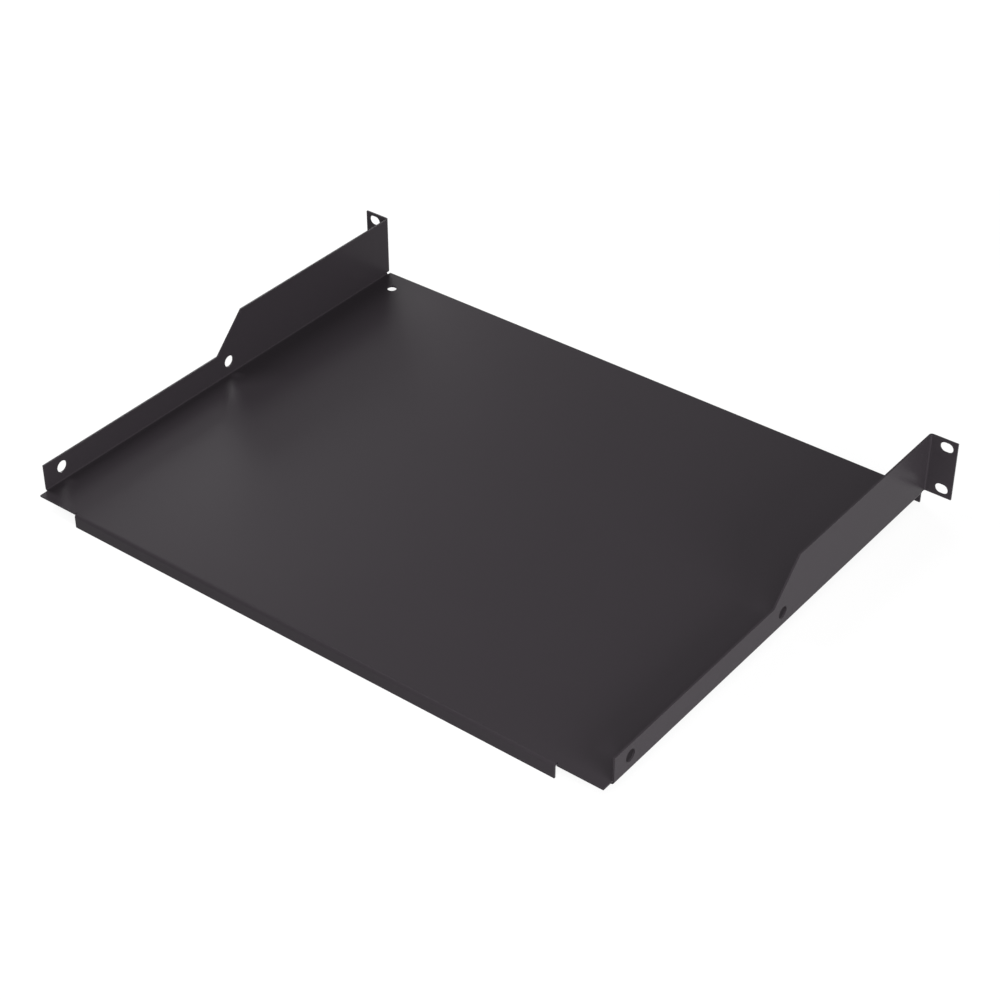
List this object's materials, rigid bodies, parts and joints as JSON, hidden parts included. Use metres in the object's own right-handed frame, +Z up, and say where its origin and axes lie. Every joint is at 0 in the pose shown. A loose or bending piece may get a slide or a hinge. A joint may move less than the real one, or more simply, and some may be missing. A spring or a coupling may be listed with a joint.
{
  "type": "rack shelf",
  "caption": "Shallow front-mount rack shelf folded from sheet steel: flat pan, stepped side flanges, slotted ears at the front, and lips folded down at front and rear.",
  "frame": {"origin": "middle of the four rack slots, on the rear faces of the ears, which seat on the rack's rails", "axes": "+X to the right for a person in front of the rack, +Y into the rack along the shelf's depth, +Z up, square to the pan"},
  "size_m": [0.4826, 0.35, 0.054],
  "materials": {
    "powder_coated_steel": "fine satin powder coat, near black"
  },
  "bodies": {
    "root": {"shelf_tray": "powder_coated_steel"}
  },
  "joints": []
}
